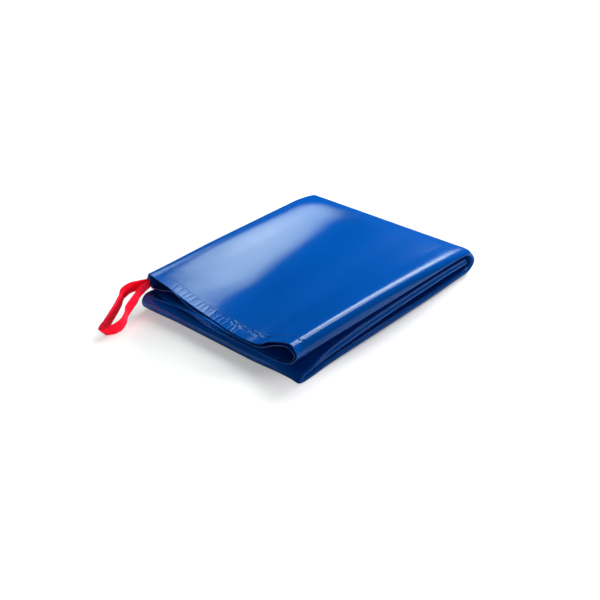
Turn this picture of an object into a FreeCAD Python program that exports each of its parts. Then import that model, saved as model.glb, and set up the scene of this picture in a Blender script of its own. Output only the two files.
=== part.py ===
"""Folded ground sheet with a red hanging loop.

A rectangular coated-fabric sheet, hemmed and stitched all round, is folded in
half twice along its length into a strip of four plies, and the strip is then
folded in three: the top section lies over the middle one, and the middle one
over the bottom one. A webbing loop is sewn to the sheet's corner.

Frame: X along the strip, Y across it, Z up, the origin on the ground under
the middle of the pack. The open, hemmed end of the top section looks to -X.
The bottom and top sections are joined by the back turn at +X, the bottom and
middle sections by the nose at -X. Each section of the strip is an outer wrap
and, inside it, an inner wrap: each is two plies joined by a fold at -Y.
"""
import FreeCAD, Part
import math
import os
import Sketcher

os.makedirs("parts", exist_ok=True)
doc = FreeCAD.newDocument("folded_sheet")

# ---------------------------------------------------------------- sizes
SIZES = [
    ("pack_length", 500.0),        # nose to back turn
    ("strip_width", 430.0),        # side fold to free edges
    ("ply", 0.7),                  # coated fabric
    ("strip_height", 14.0),        # four plies and the air between them
    ("wrap_gap", 3.5),             # between outer and inner wrap
    ("turn_radius", 28.5),         # outside of the back turn
    ("nose_left", 31.0),           # height of the nose at its +Y end
    ("nose_front", 31.0),          # height of the nose at its -Y end
    ("tongue_height", 12.5),       # middle section where it ends
    ("tongue_level", 20.5),        # underside of the middle section there
    ("tongue_reach", 10.5),        # how far it runs into the back turn
    ("mouth_left", 70.0),          # top ply at the open end, +Y corner
    ("mouth_middle", 45.0),        # the same, where it sags most
    ("mouth_front", 83.0),         # the same, at the -Y corner
    ("midway_left", 63.0),         # top ply half way along, +Y edge
    ("midway_middle", 54.0),       # the same, where it sags most
    ("midway_front", 76.0),        # the same, over the side fold
    ("midway_fold_radius", 18.0),
    ("midway_fold_under", 44.0),
    ("mouth_setback_left", 25.0),  # open end behind the nose's tip, +Y
    ("mouth_setback_front", 5.0),  # the same, -Y
    ("mouth_fold_radius", 22.0),   # side fold where it stands open
    ("mouth_fold_under", 38.0),    # underside of that fold
    ("margin_bulge", 6.0),         # free margin outside the strip's width
    ("margin_drop_mouth", 34.0),   # free margin hanging at the open end
    ("margin_drop_midway", 20.0),  # the same, half way along
    ("margin_drop_back", 10.0),    # the same, at the back turn
    ("free_edge_inset", 4.0),      # inner plies stop short of the outer ones
    ("hem_width", 28.0),
    ("hem_gap", 0.3),              # air between a hem and its ply
    ("seam_inset", 25.0),          # stitch line from the hem's edge
    ("thread", 0.9),
    ("thread_gap", 0.1),          # air between a seam's thread and the ply
    ("thread_rise", 0.3),
    ("rest_gap", 0.6),             # top section clear of the middle one
    ("webbing_width", 20.0),
    ("webbing_thick", 1.6),
    ("loop_length", 132.0),
    ("loop_radius", 12.0),         # outside of the loop's rounded end
    ("loop_slit_start", 12.0),     # where the two legs part
    ("loop_root_height", 49.0),    # middle of the webbing at its root
    ("loop_tip_height", 10.4),     # the same, at the loop's end
    ("loop_turn", 4.5),            # loop lies this many degrees towards -Y
    ("root_gap", 2.0),             # bend between loop and its sewn tail
    ("tail_length", 42.0),
    ("tail_gap", 0.3),
]
sheet = doc.addObject("Spreadsheet::Sheet", "sizes")
for row, (alias, value) in enumerate(SIZES, start=1):
    sheet.set("A%d" % row, alias)
    sheet.set("B%d" % row, str(value))
    sheet.setAlias("B%d" % row, alias)
doc.recompute()


def size(alias):
    """A driving dimension, read back from the sheet."""
    return float(getattr(sheet, alias))


HALF_WIDTH = size("strip_width") / 2
BACK_X = size("pack_length") / 2 - size("turn_radius")
PACK_LEFT = -size("pack_length") / 2
nodes = []

# expressions shared by the sketched wraps
WIDTH = "sizes.strip_width"
PLY = "sizes.ply"
HEIGHT = "sizes.strip_height"
TURN_X = "(sizes.pack_length / 2 - sizes.turn_radius)"
NOSE_X = "(-sizes.pack_length / 2 + sizes.nose_left / 2)"
NOSE_TILT = "atan((sizes.nose_left - sizes.nose_front) / 2 / sizes.strip_width)"


# ------------------------------------------------- sketched pieces
def new_body(label):
    """An empty body with its own name; it also counts as a node."""
    body = doc.addObject("PartDesign::Body", label)
    body.Label = label
    nodes.append(body)
    return body


def plane_of(body, role):
    """One of the body's own origin planes."""
    for feature in body.Origin.OriginFeatures:
        if feature.Role == role:
            return feature
    raise ValueError(role)


def new_sketch(body, name, role, offset):
    """A sketch on an origin plane; offset binds its place and turn."""
    sketch = body.newObject("Sketcher::SketchObject", name)
    sketch.AttachmentSupport = [(plane_of(body, role), "")]
    sketch.MapMode = "FlatFace"
    for field, formula in offset.items():
        sketch.setExpression("AttachmentOffset." + field, formula)
    return sketch


def bind(sketch, name, constraint, formula):
    """Add a dimension to the sketch and tie it to the sheet."""
    index = sketch.addConstraint(constraint)
    sketch.renameConstraint(index, name)
    sketch.setExpression("Constraints." + name, formula)


def point(x, y):
    return FreeCAD.Vector(x, y, 0)


def draw_wrap(sketch, height, reach, height_value, reach_value,
              thick=PLY, thick_value=None):
    """Two flat plies and the round fold that joins them.

    The fold's centre is the sketch's origin and the plies run to +X of the
    sketch. Height is over the outside, reach from the centre to the edges.
    """
    outer = height_value / 2
    inner = outer - (thick_value or size("ply"))
    edge = reach_value
    normal = FreeCAD.Vector(0, 0, 1)
    outer_arc = Part.ArcOfCircle(
        Part.Circle(point(0, 0), normal, outer), math.pi / 2, 3 * math.pi / 2)
    inner_arc = Part.ArcOfCircle(
        Part.Circle(point(0, 0), normal, inner), math.pi / 2, 3 * math.pi / 2)
    top = sketch.addGeometry(Part.LineSegment(point(edge, outer), point(0, outer)))
    bend = sketch.addGeometry(outer_arc)
    base = sketch.addGeometry(Part.LineSegment(point(0, -outer), point(edge, -outer)))
    base_end = sketch.addGeometry(
        Part.LineSegment(point(edge, -outer), point(edge, -inner)))
    base_in = sketch.addGeometry(Part.LineSegment(point(edge, -inner), point(0, -inner)))
    bend_in = sketch.addGeometry(inner_arc)
    top_in = sketch.addGeometry(Part.LineSegment(point(0, inner), point(edge, inner)))
    top_end = sketch.addGeometry(Part.LineSegment(point(edge, inner), point(edge, outer)))
    join = Sketcher.Constraint
    for first, first_end, second, second_end in (
            (top, 2, bend, 1), (bend, 2, base, 1), (base, 2, base_end, 1),
            (base_end, 2, base_in, 1), (base_in, 2, bend_in, 2),
            (bend_in, 1, top_in, 1), (top_in, 2, top_end, 1),
            (top_end, 2, top, 1)):
        sketch.addConstraint(
            join("Coincident", first, first_end, second, second_end))
    sketch.addConstraint(join("Coincident", bend, 3, -1, 1))
    sketch.addConstraint(join("Coincident", bend_in, 3, -1, 1))
    for line in (top, base, base_in, top_in):
        sketch.addConstraint(join("Horizontal", line))
    for line in (base_end, top_end):
        sketch.addConstraint(join("Vertical", line))
    for arc, start, end in ((bend, 1, 2), (bend_in, 1, 2)):
        sketch.addConstraint(join("Vertical", arc, start, arc, end))
        sketch.addConstraint(join("Vertical", arc, start, -1, 1))
    bind(sketch, "outside", join("Radius", bend, outer), height + " / 2")
    bind(sketch, "inside", join("Radius", bend_in, inner),
         height + " / 2 - " + thick)
    bind(sketch, "reach", join("DistanceX", -1, 1, top, 1, edge), reach)
    sketch.addConstraint(join("Vertical", top_end, 2, base_end, 1))


def section_values(inner, height, value):
    """Formula and number for a wrap's height and reach."""
    if not inner:
        reach = "(%s - %s / 2)" % (WIDTH, height)
        return height, reach, value, size("strip_width") - value / 2
    gap = size("ply") + size("wrap_gap")
    small = value - 2 * gap
    formula = "(%s - 2 * (%s + sizes.wrap_gap))" % (height, PLY)
    reach = "(%s - %s / 2 - sizes.free_edge_inset)" % (WIDTH, height)
    inset = size("free_edge_inset")
    return formula, reach, small, size("strip_width") - value / 2 - inset


def wrap_offset(x_formula):
    """Bottom-section placing: fold centre half a strip above the ground."""
    return {
        "Base.x": "%s / 2 - %s / 2" % (HEIGHT, WIDTH),
        "Base.y": "%s / 2" % HEIGHT,
        "Base.z": x_formula,
    }


def bottom_wrap(label, inner):
    """Flat part of the bottom section, padded from the nose to the turn."""
    body = new_body(label)
    sketch = new_sketch(body, label + "_profile", "YZ_Plane",
                        wrap_offset(NOSE_X))
    draw_wrap(sketch, *section_values(inner, HEIGHT, size("strip_height")))
    pad = body.newObject("PartDesign::Pad", label + "_pad")
    pad.Profile = sketch
    pad.setExpression("Length", "%s - %s" % (TURN_X, NOSE_X))


def turned_wrap(label, inner, x_formula, left, front, reverse):
    """Half turn of the strip about a line that may slope from -Y to +Y."""
    body = new_body(label)
    sketch = new_sketch(body, label + "_profile", "YZ_Plane",
                        wrap_offset(x_formula))
    draw_wrap(sketch, *section_values(inner, HEIGHT, size("strip_height")))
    half = size("strip_height") / 2
    far = size("strip_width") - half
    start = point(-half, half + 8)
    end = point(far, half + 14)
    axis = sketch.addGeometry(Part.LineSegment(start, end), True)
    join = Sketcher.Constraint
    bind(sketch, "axis_front", join("DistanceX", axis, 1, -1, 1, half),
         HEIGHT + " / 2")
    bind(sketch, "axis_left", join("DistanceX", -1, 1, axis, 2, far),
         "%s - %s / 2" % (WIDTH, HEIGHT))
    bind(sketch, "front_level", join("DistanceY", -1, 1, axis, 1, start.y),
         "(%s - %s) / 2" % (front, HEIGHT))
    bind(sketch, "left_level", join("DistanceY", -1, 1, axis, 2, end.y),
         "(%s - %s) / 2" % (left, HEIGHT))
    turn = body.newObject("PartDesign::Revolution", label + "_turn")
    turn.Profile = sketch
    turn.ReferenceAxis = (sketch, ["Axis0"])
    turn.Angle = 180
    turn.Reversed = reverse


def middle_ends(body):
    """Two empty sketches: where the section leaves the nose, and its end."""
    rise = "(sizes.nose_front / 2 + (sizes.nose_left - sizes.nose_front)"
    rise += " / 2 * (%s / 2) / %s - %s / 2)" % (HEIGHT, WIDTH, HEIGHT)
    near = new_sketch(body, body.Label + "_nose_end", "YZ_Plane", {
        "Base.x": "%s / 2 - %s / 2 - 2 * %s * cos(%s) * sin(%s)" % (
            HEIGHT, WIDTH, rise, NOSE_TILT, NOSE_TILT),
        "Base.y": "%s / 2 + 2 * %s * cos(%s) ^ 2" % (HEIGHT, rise, NOSE_TILT),
        "Base.z": NOSE_X,
        "Rotation.Angle": "2 * " + NOSE_TILT,
    })
    far = new_sketch(body, body.Label + "_hem_end", "YZ_Plane", {
        "Base.x": "sizes.tongue_height / 2 - %s / 2" % WIDTH,
        "Base.y": "sizes.tongue_level + sizes.tongue_height / 2",
        "Base.z": MIDDLE_END,
    })
    return near, far


def loft_between(body, near, far):
    loft = body.newObject("PartDesign::AdditiveLoft", body.Label + "_loft")
    loft.Profile = near
    loft.Sections = [far]
    loft.Ruled = True


def middle_wrap(label, inner):
    """Middle section: from the sloping nose to its hemmed, level end."""
    body = new_body(label)
    near, far = middle_ends(body)
    draw_wrap(near, *section_values(inner, HEIGHT, size("strip_height")))
    draw_wrap(far, *section_values(inner, TONGUE, size("tongue_height")))
    loft_between(body, near, far)


def middle_band(label, inner, depth, depth_value, thick, thick_value, start, end):
    """A band round the middle section, kept from start to end along X."""
    body = new_body(label)
    near, far = middle_ends(body)
    for sketch, height, value in ((near, HEIGHT, size("strip_height")),
                                  (far, TONGUE, size("tongue_height"))):
        formula, reach, tall, long = section_values(inner, height, value)
        draw_wrap(sketch, "(%s - 2 * %s)" % (formula, depth), reach,
                  tall - 2 * depth_value, long, thick, thick_value)
    loft_between(body, near, far)
    mask = new_sketch(body, label + "_mask", "XY_Plane", {})
    wide = HALF_WIDTH + 20
    beyond = BACK_X + size("tongue_reach") + 20
    for name, low, high, edge, formula in (
            ("start", PACK_LEFT - 20, beyond - 80, 2, start),
            ("end", beyond - 60, beyond, 4, end)):
        lines = draw_rectangle(mask, low, -wide, high, wide)
        side = lines[1] if edge == 2 else lines[3]
        bind(mask, name, Sketcher.Constraint(
            "DistanceX", -1, 1, side, 1, high if edge == 2 else low), formula)
    cut = body.newObject("PartDesign::Pocket", label + "_trim")
    cut.Profile = mask
    cut.Type = "ThroughAll"
    cut.Midplane = True


def draw_rectangle(sketch, left, low, right, high):
    """Four joined lines: bottom, right, top and left."""
    corners = [point(left, low), point(right, low), point(right, high), point(left, high)]
    lines = []
    for number in range(4):
        lines.append(sketch.addGeometry(
            Part.LineSegment(corners[number], corners[(number + 1) % 4])))
    for number in range(4):
        sketch.addConstraint(Sketcher.Constraint(
            "Coincident", lines[number], 2, lines[(number + 1) % 4], 1))
        direction = "Horizontal" if number % 2 == 0 else "Vertical"
        sketch.addConstraint(Sketcher.Constraint(direction, lines[number]))
    return lines


def draw_margin(sketch, inner, height, value, above):
    """A folded-in margin: a flat band on the inside of one ply's free edge."""
    formula, reach, tall, long = section_values(inner, height, value)
    inward = size("ply") + size("hem_gap")
    first = tall / 2 - inward - size("ply")
    level = "(%s / 2 - 2 * %s - sizes.hem_gap)" % (formula, PLY)
    if not above:
        first = -tall / 2 + inward
        level = "(-%s / 2 + %s + sizes.hem_gap)" % (formula, PLY)
    lines = draw_rectangle(sketch, long - size("hem_width"), first,
                           long, first + size("ply"))
    join = Sketcher.Constraint
    bind(sketch, "edge", join("DistanceX", -1, 1, lines[1], 1, long), reach)
    bind(sketch, "width", join("DistanceX", lines[0], 1, lines[0], 2,
                               size("hem_width")), "sizes.hem_width")
    bind(sketch, "level", join("DistanceY", -1, 1, lines[0], 1, first), level)
    bind(sketch, "thickness", join("DistanceY", lines[1], 1, lines[1], 2,
                                   size("ply")), PLY)


def bottom_margin(label, inner):
    """Long hem of the bottom section; the outermost ply lies on the ground."""
    body = new_body(label)
    sketch = new_sketch(body, label + "_profile", "YZ_Plane",
                        wrap_offset(NOSE_X))
    draw_margin(sketch, inner, HEIGHT, size("strip_height"), False)
    pad = body.newObject("PartDesign::Pad", label + "_pad")
    pad.Profile = sketch
    pad.setExpression("Length", "%s - %s" % (TURN_X, NOSE_X))


def middle_margin(label, inner):
    """Long hem of the middle section, short of the hem across its end."""
    body = new_body(label)
    near, far = middle_ends(body)
    far.setExpression("AttachmentOffset.Base.z", MIDDLE_HEM_START + " - 0.5")
    draw_margin(near, inner, HEIGHT, size("strip_height"), True)
    draw_margin(far, inner, TONGUE, size("tongue_height"), True)
    loft_between(body, near, far)


TONGUE = "sizes.tongue_height"
MIDDLE_END = "(%s + sizes.tongue_reach)" % TURN_X
MIDDLE_HEM_START = "(%s - sizes.hem_width)" % MIDDLE_END
MIDDLE_SEAM = "(%s - sizes.seam_inset)" % MIDDLE_END

for kind, inner in (("outer", False), ("inner", True)):
    bottom_wrap("bottom_%s_wrap" % kind, inner)
    turned_wrap("nose_%s_wrap" % kind, inner, NOSE_X,
                "sizes.nose_left", "sizes.nose_front", False)
    middle_wrap("middle_%s_wrap" % kind, inner)
    turned_wrap("back_turn_%s_wrap" % kind, inner, TURN_X,
                "(2 * sizes.turn_radius)", "(2 * sizes.turn_radius)", True)
    bottom_margin("bottom_%s_margin_hem" % kind, inner)
    middle_margin("middle_%s_margin_hem" % kind, inner)
    middle_band("middle_%s_end_hem" % kind, inner, "(sizes.ply + sizes.hem_gap)",
                size("ply") + size("hem_gap"), PLY, size("ply"),
                MIDDLE_HEM_START, "(%s + 10)" % MIDDLE_END)
middle_band("middle_end_seam", False, "(-sizes.thread_rise - sizes.thread_gap)",
            -size("thread_rise") - size("thread_gap"),
            "sizes.thread_rise", size("thread_rise"),
            MIDDLE_SEAM, "(%s + sizes.thread)" % MIDDLE_SEAM)


# ------------------------------------------------- the draped top section
def ease(value):
    """Smooth step from 0 to 1."""
    value = min(max(value, 0.0), 1.0)
    return value * value * (3 - 2 * value)


def mix(first, second, share):
    return first + (second - first) * share


def nose_top(y):
    """Height of the middle section where it leaves the nose."""
    share = (y + HALF_WIDTH) / (2 * HALF_WIDTH)
    return mix(size("nose_front"), size("nose_left"), share)


def sagging(left, middle, front):
    """Upper face of the section: it sags between its +Y and -Y sides."""
    def height(y):
        share = y / HALF_WIDTH
        left_rise = (left - middle) * max(share, 0) ** 1.3
        front_rise = (front - middle) * ease(-(share + 0.32) / 0.5)
        return middle + left_rise + front_rise
    return height


def resting(fold_under, share_along):
    """Lower face of the section: it lies on the middle one, off its fold."""
    tongue_top = size("tongue_level") + size("tongue_height")

    def carried(y):
        return mix(nose_top(y), tongue_top, share_along) + size("rest_gap")

    def height(y):
        lift = fold_under - carried(-HALF_WIDTH)
        return carried(y) + lift * ease(-(y / HALF_WIDTH + 0.6) / 0.32)
    return height


def level(height):
    return lambda y: height


def mouth_x(y):
    """The open end is not square to the strip."""
    share = (y + HALF_WIDTH) / (2 * HALF_WIDTH)
    setback = mix(size("mouth_setback_front"), size("mouth_setback_left"), share)
    return PACK_LEFT + setback


OPEN_END = {
    "top": sagging(size("mouth_left"), size("mouth_middle"), size("mouth_front")),
    "bottom": resting(size("mouth_fold_under"), 0),
    "radius": size("mouth_fold_radius"),
    "drop": size("margin_drop_mouth"),
}
MIDWAY = {
    "top": sagging(size("midway_left"), size("midway_middle"), size("midway_front")),
    "bottom": resting(size("midway_fold_under"), 0.55),
    "radius": size("midway_fold_radius"),
    "drop": size("margin_drop_midway"),
}
BACK_END = {
    "top": level(2 * size("turn_radius")),
    "bottom": level(2 * size("turn_radius") - size("strip_height")),
    "radius": size("strip_height") / 2,
    "drop": size("margin_drop_back"),
}
STATIONS = [OPEN_END, MIDWAY, BACK_END]
FLAT_PLACES = [1, 0.97, 0.9, 0.79, 0.66, 0.53, 0.4, 0.28, 0.17, 0.08, 0.03, 0]
FOLD_STEPS = 8


def wrap_outline(end, inner):
    """Points (y, z) round a wrap's outside, from its upper free edge."""
    share = 0.0
    inset = 0.0
    if inner:
        share = (size("ply") + size("wrap_gap")) / size("strip_height")
        inset = size("free_edge_inset")
    radius = end["radius"] * (1 - 2 * share)
    centre = -HALF_WIDTH + end["radius"]
    edge = HALF_WIDTH - inset

    def upper(y):
        return mix(end["top"](y), end["bottom"](y), share)

    def lower(y):
        return mix(end["bottom"](y), end["top"](y), share)

    outline = []
    if not inner:
        shoulder = size("margin_bulge") / 2
        drop = end["drop"]
        high = upper(edge)
        outline.append((edge + 2 * shoulder, high - drop))
        outline.append((edge + 1.9 * shoulder, high - drop / 2))
        outline.append((edge + shoulder, high - drop / 6))
        edge -= shoulder
    for share_along in FLAT_PLACES:
        y = mix(centre, edge, share_along)
        outline.append((y, upper(y)))
    high = upper(centre)
    low = lower(centre)
    for step in range(1, FOLD_STEPS):
        angle = math.pi * step / FOLD_STEPS
        outline.append((centre - radius * math.sin(angle),
                        (high + low) / 2 + (high - low) / 2 * math.cos(angle)))
    for share_along in reversed(FLAT_PLACES):
        y = mix(centre, HALF_WIDTH - inset, share_along)
        outline.append((y, lower(y)))
    return outline


def shifted(outline, depth):
    """The outline moved inwards, square to itself."""
    moved = []
    last = len(outline) - 1
    for index, (y, z) in enumerate(outline):
        before = outline[max(index - 1, 0)]
        after = outline[min(index + 1, last)]
        along = (after[0] - before[0], after[1] - before[1])
        length = math.hypot(*along)
        moved.append((y - along[1] / length * depth,
                      z + along[0] / length * depth))
    return moved


def distances(outlines):
    """How far along the wrap each point lies, the same at every station."""
    travelled = [0.0]
    for index in range(1, len(outlines[0])):
        steps = [math.dist(outline[index - 1], outline[index]) for outline in outlines]
        travelled.append(travelled[-1] + sum(steps) / len(steps))
    return travelled


def between_stations(outlines, share, depth):
    """The outline at a share of the way from the open end to the turn."""
    spans = len(outlines) - 1
    start = min(int(share * spans), spans - 1)
    rest = share * spans - start
    near = shifted(outlines[start], depth)
    far = shifted(outlines[start + 1], depth)
    return [(mix(a[0], b[0], rest), mix(a[1], b[1], rest)) for a, b in zip(near, far)]


def ring_wire(outlines, share, outside, inside, first, last):
    """Closed section through a wrap at a share of the way to the turn."""
    places = distances(outlines)
    curves = []
    for depth in (outside, inside):
        points = []
        for y, z in between_stations(outlines, share, depth):
            points.append(FreeCAD.Vector(mix(mouth_x(y), BACK_X, share), y, z))
        curve = Part.BSplineCurve()
        curve.interpolate(Points=points, Parameters=places)
        curve.segment(places[first], places[last])
        curves.append(curve)
    over, under = curves
    tip = Part.makeLine(over.EndPoint, under.EndPoint)
    root = Part.makeLine(under.StartPoint, over.StartPoint)
    return Part.Wire([over.toShape(), tip, under.toShape(), root])


def draped_piece(inner, outside, inside, start, end, first=0, last=-1):
    """A thin shell between two depths and two shares of the length."""
    outlines = [wrap_outline(station, inner) for station in STATIONS]
    between = [share for share in (SEAM_SHARE, 0.5) if start < share < end]
    shares = [start] + between + [end]
    wires = [ring_wire(outlines, share, outside, inside, first, last)
             for share in shares]
    return Part.makeLoft(wires, True, True)


def add_shape(label, shape):
    """A named piece whose shape follows the sheet's free form."""
    feature = doc.addObject("Part::Feature", label)
    feature.Label = label
    feature.Shape = shape
    nodes.append(feature)


SECTION = BACK_X - PACK_LEFT - size("mouth_setback_left")
HEM_SHARE = size("hem_width") / SECTION
SEAM_SHARE = size("seam_inset") / SECTION
THREAD_SHARE = size("thread") / SECTION
PLY_SIZE = size("ply")
HEM_TOP = PLY_SIZE + size("hem_gap")
HEM_BASE = HEM_TOP + PLY_SIZE
MARGIN_STEPS = 3
PLY_STEPS = 2 + len(FLAT_PLACES)
WRAP_STEPS = PLY_STEPS + FOLD_STEPS

add_shape("top_cover_ply", draped_piece(False, 0, PLY_SIZE, 0, 1, 0, PLY_STEPS))
add_shape("top_side_fold", draped_piece(False, 0, PLY_SIZE, 0, 1, PLY_STEPS, WRAP_STEPS))
add_shape("top_under_ply", draped_piece(False, 0, PLY_SIZE, 0, 1, WRAP_STEPS))
add_shape("top_inner_wrap", draped_piece(True, 0, PLY_SIZE, 0, 1))
for kind, inner in (("outer", False), ("inner", True)):
    add_shape("top_%s_end_hem" % kind,
              draped_piece(inner, HEM_TOP, HEM_BASE, 0, HEM_SHARE))
add_shape("top_end_seam", draped_piece(
    False, -size("thread_gap") - size("thread_rise"), -size("thread_gap"),
    SEAM_SHARE, SEAM_SHARE + THREAD_SHARE, 1, WRAP_STEPS))
add_shape("top_outer_margin_hem", draped_piece(
    False, HEM_TOP, HEM_BASE, HEM_SHARE * 1.05, 1, 0, MARGIN_STEPS))


# ------------------------------------------------- the hanging loop
ROOT_X = "(-sizes.pack_length / 2 + sizes.mouth_setback_left)"
TAIL_FACE = "(sizes.strip_width / 2 + sizes.margin_bulge + sizes.tail_gap)"
ROOT_Y = "(%s + sizes.webbing_thick)" % TAIL_FACE
LOOP_DROP = "asin((sizes.loop_root_height - sizes.loop_tip_height) / sizes.loop_length)"


def draw_loop(sketch):
    """Webbing on edge: a short doubled stem, two legs and a round end."""
    thick = size("webbing_thick")
    start = -size("root_gap")
    fork = -size("loop_slit_start")
    radius = size("loop_radius")
    middle = radius - size("loop_length")
    away = math.hypot(fork - middle, thick)
    touch = math.atan2(thick, fork - middle) + math.acos(radius / away)
    normal = FreeCAD.Vector(0, 0, 1)
    centre = point(middle, 0)
    join = Sketcher.Constraint

    def on_circle(size_of_circle, angle):
        return centre + point(math.cos(angle), math.sin(angle)) * size_of_circle

    def arc(size_of_circle):
        circle = Part.Circle(centre, normal, size_of_circle)
        return sketch.addGeometry(
            Part.ArcOfCircle(circle, touch, 2 * math.pi - touch))

    def line(first, second):
        return sketch.addGeometry(Part.LineSegment(first, second))

    outer_end = arc(radius)
    inner_end = arc(radius - thick)
    slit = point(middle + (radius - thick) / math.cos(touch), 0)
    root = line(point(start, -thick), point(start, thick))
    stem_high = line(point(start, thick), point(fork, thick))
    leg_high = line(point(fork, thick), on_circle(radius, touch))
    leg_low = line(on_circle(radius, -touch), point(fork, -thick))
    stem_low = line(point(fork, -thick), point(start, -thick))
    slit_high = line(slit, on_circle(radius - thick, touch))
    slit_low = line(on_circle(radius - thick, -touch), slit)
    for first, second in ((root, stem_high), (stem_high, leg_high),
                          (leg_low, stem_low), (stem_low, root),
                          (slit_low, slit_high)):
        sketch.addConstraint(join("Coincident", first, 2, second, 1))
    for leg, end in ((leg_high, outer_end), (slit_high, inner_end)):
        sketch.addConstraint(join("Tangent", leg, 2, end, 1))
    for end, leg in ((outer_end, leg_low), (inner_end, slit_low)):
        sketch.addConstraint(join("Tangent", end, 2, leg, 1))
    sketch.addConstraint(join("Coincident", outer_end, 3, inner_end, 3))
    sketch.addConstraint(join("PointOnObject", outer_end, 3, -1))
    sketch.addConstraint(join("PointOnObject", slit_high, 1, -1))
    sketch.addConstraint(join("Horizontal", stem_high))
    sketch.addConstraint(join("Horizontal", stem_low))
    sketch.addConstraint(join("Parallel", leg_high, slit_high))
    sketch.addConstraint(join("Vertical", stem_high, 2, stem_low, 1))
    sketch.addConstraint(join("Symmetric", root, 1, root, 2, -1))
    bind(sketch, "radius", join("Radius", outer_end, radius), "sizes.loop_radius")
    bind(sketch, "inside", join("Radius", inner_end, radius - thick),
         "sizes.loop_radius - sizes.webbing_thick")
    bind(sketch, "end", join("DistanceX", outer_end, 3, -1, 1, -middle),
         "sizes.loop_length - sizes.loop_radius")
    bind(sketch, "fork", join("DistanceX", stem_high, 2, -1, 1, -fork),
         "sizes.loop_slit_start")
    bind(sketch, "start", join("DistanceX", stem_high, 1, -1, 1, -start),
         "sizes.root_gap")
    bind(sketch, "doubled", join("DistanceY", root, 1, root, 2, 2 * thick),
         "2 * sizes.webbing_thick")


loop = new_body("webbing_loop")
loop_sketch = new_sketch(loop, "loop_outline", "XY_Plane", {})
tilt = FreeCAD.Rotation(FreeCAD.Vector(0, 1, 0), -1)
loop_sketch.AttachmentOffset = FreeCAD.Placement(FreeCAD.Vector(), tilt)
loop_sketch.setExpression("AttachmentOffset.Rotation.Angle", "-" + LOOP_DROP)
draw_loop(loop_sketch)
loop_pad = loop.newObject("PartDesign::Pad", "loop_pad")
loop_pad.Profile = loop_sketch
loop_pad.Midplane = True
loop_pad.setExpression("Length", "sizes.webbing_width")
loop.Placement = FreeCAD.Placement(
    FreeCAD.Vector(), FreeCAD.Rotation(FreeCAD.Vector(0, 0, 1), 1))
loop.setExpression("Placement.Rotation.Angle", "sizes.loop_turn")
loop.setExpression("Placement.Base.x", ROOT_X)
loop.setExpression("Placement.Base.y", ROOT_Y)
loop.setExpression("Placement.Base.z", "sizes.loop_root_height")


def add_box(label, lengths, corner):
    """A box whose three lengths and near corner follow the sheet."""
    box = doc.addObject("Part::Box", label)
    box.Label = label
    for field, formula in zip(("Length", "Width", "Height"), lengths):
        box.setExpression(field, formula)
    for field, formula in zip("xyz", corner):
        box.setExpression("Placement.Base." + field, formula)
    return box


def add_frame(label, wide, tall, line, depth, corner):
    """A flat rectangular frame, upright, its face to +Y."""
    corner_x, corner_y, corner_z = corner
    outside = add_box(label + "_outside", (wide, depth, tall), corner)
    inside = add_box(
        label + "_inside",
        ("%s - 2 * %s" % (wide, line), depth, "%s - 2 * %s" % (tall, line)),
        ("%s + %s" % (corner_x, line), corner_y, "%s + %s" % (corner_z, line)))
    frame = doc.addObject("Part::Cut", label)
    frame.Label = label
    frame.Base = outside
    frame.Tool = inside
    return frame


nodes.append(add_box(
    "loop_tail", ("sizes.tail_length", "2 * sizes.webbing_thick", "sizes.webbing_width"),
    (ROOT_X + " + sizes.root_gap", TAIL_FACE,
     "sizes.loop_root_height - sizes.webbing_width / 2")))
nodes.append(add_frame(
    "loop_box_stitch", "(sizes.tail_length - 8)", "(sizes.webbing_width - 5)",
    "sizes.thread", "sizes.thread_rise",
    (ROOT_X + " + sizes.root_gap + 4", TAIL_FACE + " + 2 * sizes.webbing_thick",
     "sizes.loop_root_height - sizes.webbing_width / 2 + 2.5")))


# ------------------------------------------------- checks and files
doc.recompute()
for piece in nodes:
    if "Invalid" in piece.State or "Error" in piece.State:
        raise ValueError("%s: %s" % (piece.Label, piece.State))
    if piece.Shape.isNull() or not piece.Shape.isValid():
        raise ValueError(piece.Label + " has no valid shape")
for piece in nodes:
    piece.Shape.exportStep("parts/%s.step" % piece.Label)
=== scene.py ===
import math

import bpy
import numpy as np
from mathutils import Matrix, Vector


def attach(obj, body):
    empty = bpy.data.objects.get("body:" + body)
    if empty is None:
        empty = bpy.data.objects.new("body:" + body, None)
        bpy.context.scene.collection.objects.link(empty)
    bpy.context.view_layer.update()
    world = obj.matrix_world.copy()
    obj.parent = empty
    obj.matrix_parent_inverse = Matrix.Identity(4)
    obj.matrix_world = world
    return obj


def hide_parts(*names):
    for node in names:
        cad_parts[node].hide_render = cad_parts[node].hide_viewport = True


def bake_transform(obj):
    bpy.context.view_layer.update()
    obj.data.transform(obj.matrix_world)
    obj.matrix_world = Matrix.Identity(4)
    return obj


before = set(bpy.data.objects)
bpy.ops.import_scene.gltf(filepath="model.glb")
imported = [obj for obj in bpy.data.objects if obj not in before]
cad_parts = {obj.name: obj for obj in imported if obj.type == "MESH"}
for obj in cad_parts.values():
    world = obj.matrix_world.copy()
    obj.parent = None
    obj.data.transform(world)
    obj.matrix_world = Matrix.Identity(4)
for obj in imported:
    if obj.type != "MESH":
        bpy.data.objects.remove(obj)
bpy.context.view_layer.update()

# ------------------------------------------------------------------ the view
# A pack of folded sheet lies on a studio floor, seen from above one corner.
# The camera stands 2.3 m away and is turned a little on its own axis.
YAW = math.radians(48.5)
PITCH = math.radians(30.9)
ROLL = math.radians(-6.2)
forward = Vector((math.cos(YAW) * math.cos(PITCH),
                  math.sin(YAW) * math.cos(PITCH),
                  -math.sin(PITCH)))
level_right = Vector((math.sin(YAW), -math.cos(YAW), 0))
level_up = level_right.cross(forward)
right = level_right * math.cos(ROLL) + level_up * math.sin(ROLL)
up = level_up * math.cos(ROLL) - level_right * math.sin(ROLL)
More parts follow.
